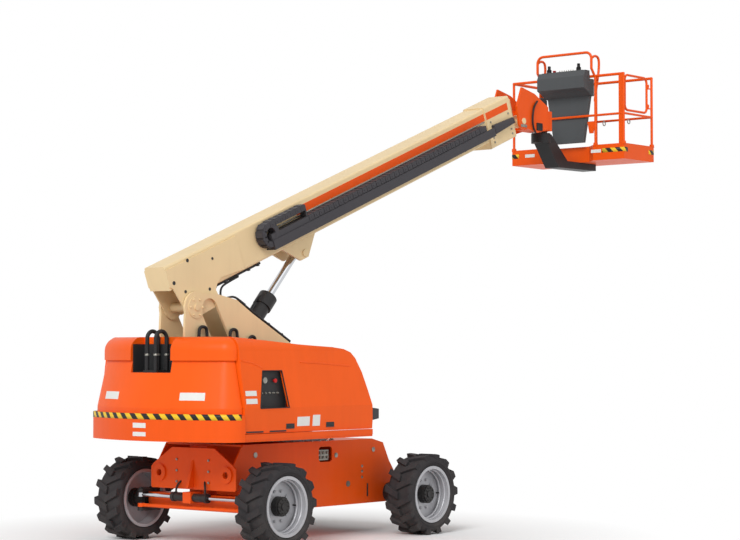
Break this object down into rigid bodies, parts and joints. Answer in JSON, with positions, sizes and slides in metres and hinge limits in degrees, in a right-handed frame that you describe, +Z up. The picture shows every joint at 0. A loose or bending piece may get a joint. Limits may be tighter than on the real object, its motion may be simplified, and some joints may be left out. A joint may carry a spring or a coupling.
{
  "type": "telescopic boom lift",
  "caption": "Telescopic boom man lift: wheeled chassis with steering, slewing turntable under opening hoods, three-section boom with a lift cylinder, and a railed work platform on a rotator.",
  "frame": {"origin": "on the ground under the slewing axis, midway between the axles", "axes": "+X forward towards the platform, +Y left, +Z up"},
  "size_m": [8.7503, 2.489, 6.138],
  "materials": {
    "orange_paint": "satin",
    "orange_cover": "satin",
    "cream_paint": "satin",
    "black_paint": "satin",
    "tyre": "matte",
    "rim": "satin",
    "chrome": "polished",
    "cast": "matte",
    "steel": "satin",
    "grey_plastic": "matte",
    "black_plastic": "matte",
    "black_rubber": "matte"
  },
  "bodies": {
    "chassis": {"chassis_frame": "orange_paint", "steer_axle": "orange_paint", "drive_axle": "black_paint", "slew_ring": "steel", "steer_barrel": "black_paint"},
    "knuckle_left": {"knuckle_left": "black_paint"},
    "knuckle_right": {"knuckle_right": "black_paint"},
    "tie_rod": {"tie_rod": "orange_paint"},
    "steer_rod": {"steer_rod": "chrome"},
    "wheel_steer_left": {"tyre_steer_left": "tyre", "rim_steer_left": "rim", "hub_steer_left": "black_paint"},
    "wheel_steer_right": {"tyre_steer_right": "tyre", "rim_steer_right": "rim", "hub_steer_right": "black_paint"},
    "wheel_drive_left": {"tyre_drive_left": "tyre", "rim_drive_left": "rim", "hub_drive_left": "black_paint"},
    "wheel_drive_right": {"tyre_drive_right": "tyre", "rim_drive_right": "rim", "hub_drive_right": "black_paint"},
    "turntable": {"turntable_frame": "orange_paint", "counterweight": "orange_paint", "rear_cover": "orange_cover", "upright_left": "cream_paint", "upright_right": "cream_paint", "pivot_pin": "cream_paint", "engine": "cast", "control_panel": "grey_plastic", "hose_loops": "black_rubber", "tower_hose": "black_rubber"},
    "hood_left": {"hood_left": "orange_cover"},
    "hood_right": {"hood_right": "orange_cover", "hood_bumper": "black_plastic"},
    "boom_base": {"boom_base": "cream_paint", "powertrack": "black_plastic", "boom_hose": "black_rubber"},
    "boom_mid": {"boom_mid": "cream_paint"},
    "boom_fly": {"boom_fly": "cream_paint"},
    "lift_barrel": {"lift_barrel": "black_paint"},
    "lift_rod": {"lift_rod": "chrome"},
    "platform_support": {"platform_support": "orange_paint", "rotator": "black_paint"},
    "platform": {"platform_beam": "black_paint", "platform_floor": "orange_paint", "platform_rails": "orange_paint", "platform_console": "grey_plastic"},
    "gate": {"gate": "orange_paint"}
  },
  "joints": [
    {"name": "slew", "type": "hinge", "parent": "chassis", "child": "turntable", "pos_m": [0, 0, 1.15], "axis": [0, 0, 1], "continuous": true},
    {"name": "steer", "type": "hinge", "parent": "chassis", "child": "knuckle_left", "pos_m": [-1.245, 0.76, 0.46], "axis": [0, 0, 1], "range_deg": [-35, 35]},
    {"name": "steer_right", "type": "hinge", "parent": "chassis", "child": "knuckle_right", "pos_m": [-1.245, -0.76, 0.46], "axis": [0, 0, 1], "range_deg": [-35, 35]},
    {"name": "tie_rod_pivot", "type": "hinge", "parent": "knuckle_left", "child": "tie_rod", "pos_m": [-1.445, 0.76, 0.4], "axis": [0, 0, 1], "range_deg": [-35, 35]},
    {"name": "steer_rod_slide", "type": "slide", "parent": "chassis", "child": "steer_rod", "axis": [0, 1, 0], "range_m": [-0.13, 0.13]},
    {"name": "wheel_steer_left_spin", "type": "hinge", "parent": "knuckle_left", "child": "wheel_steer_left", "pos_m": [-1.245, 1.067, 0.46], "axis": [0, 1, 0], "continuous": true},
    {"name": "wheel_steer_right_spin", "type": "hinge", "parent": "knuckle_right", "child": "wheel_steer_right", "pos_m": [-1.245, -1.067, 0.46], "axis": [0, 1, 0], "continuous": true},
    {"name": "wheel_drive_left_spin", "type": "hinge", "parent": "chassis", "child": "wheel_drive_left", "pos_m": [1.245, 1.067, 0.46], "axis": [0, 1, 0], "continuous": true},
    {"name": "wheel_drive_right_spin", "type": "hinge", "parent": "chassis", "child": "wheel_drive_right", "pos_m": [1.245, -1.067, 0.46], "axis": [0, 1, 0], "continuous": true},
    {"name": "hood_left_hinge", "type": "hinge", "parent": "turntable", "child": "hood_left", "pos_m": [-0.95, 0.415, 2.08], "axis": [1, 0, 0], "range_deg": [0, 60]},
    {"name": "hood_right_hinge", "type": "hinge", "parent": "turntable", "child": "hood_right", "pos_m": [-0.95, -0.415, 2.08], "axis": [-1, 0, 0], "range_deg": [0, 60]},
    {"name": "lift", "type": "hinge", "parent": "turntable", "child": "boom_base", "pos_m": [-1.57, 0, 2.57], "axis": [0, -1, 0], "range_deg": [-33, 51]},
    {"name": "telescope_mid", "type": "slide", "parent": "boom_base", "child": "boom_mid", "axis": [0.933, 0, 0.36], "range_m": [0, 4.9]},
    {"name": "telescope_fly", "type": "slide", "parent": "boom_mid", "child": "boom_fly", "axis": [0.933, 0, 0.36], "range_m": [0, 4.9]},
    {"name": "lift_barrel_pivot", "type": "hinge", "parent": "turntable", "child": "lift_barrel", "pos_m": [-1.31, 0, 1.5], "axis": [0, -1, 0], "range_deg": [-24, 36.5]},
    {"name": "lift_rod_slide", "type": "slide", "parent": "lift_barrel", "child": "lift_rod", "axis": [0.6729, 0, 0.7398], "range_m": [-0.54, 0.83]},
    {"name": "platform_level", "type": "hinge", "parent": "boom_fly", "child": "platform_support", "pos_m": [4.50763, 0, 5.09738], "axis": [0, -1, 0], "range_deg": [-51, 33]},
    {"name": "platform_rotate", "type": "hinge", "parent": "platform_support", "child": "platform", "pos_m": [5.19, 0, 5], "axis": [0, 0, 1], "range_deg": [-90, 90]},
    {"name": "gate_hinge", "type": "hinge", "parent": "platform", "child": "gate", "pos_m": [6.47, -0.88, 5.4], "axis": [0, 0, -1], "range_deg": [0, 90]}
  ],
  "couplings": [
    {"joint": "steer_right", "follows": "steer", "ratio": 1},
    {"joint": "tie_rod_pivot", "follows": "steer", "ratio": -1},
    {"joint": "steer_rod_slide", "follows": "steer", "m_per_rad": -0.2},
    {"joint": "telescope_fly", "follows": "telescope_mid", "ratio": 1},
    {"joint": "lift_barrel_pivot", "follows": "lift", "ratio": 0.7102},
    {"joint": "lift_rod_slide", "follows": "lift", "m_per_rad": 0.9167},
    {"joint": "platform_level", "follows": "lift", "ratio": -1}
  ]
}
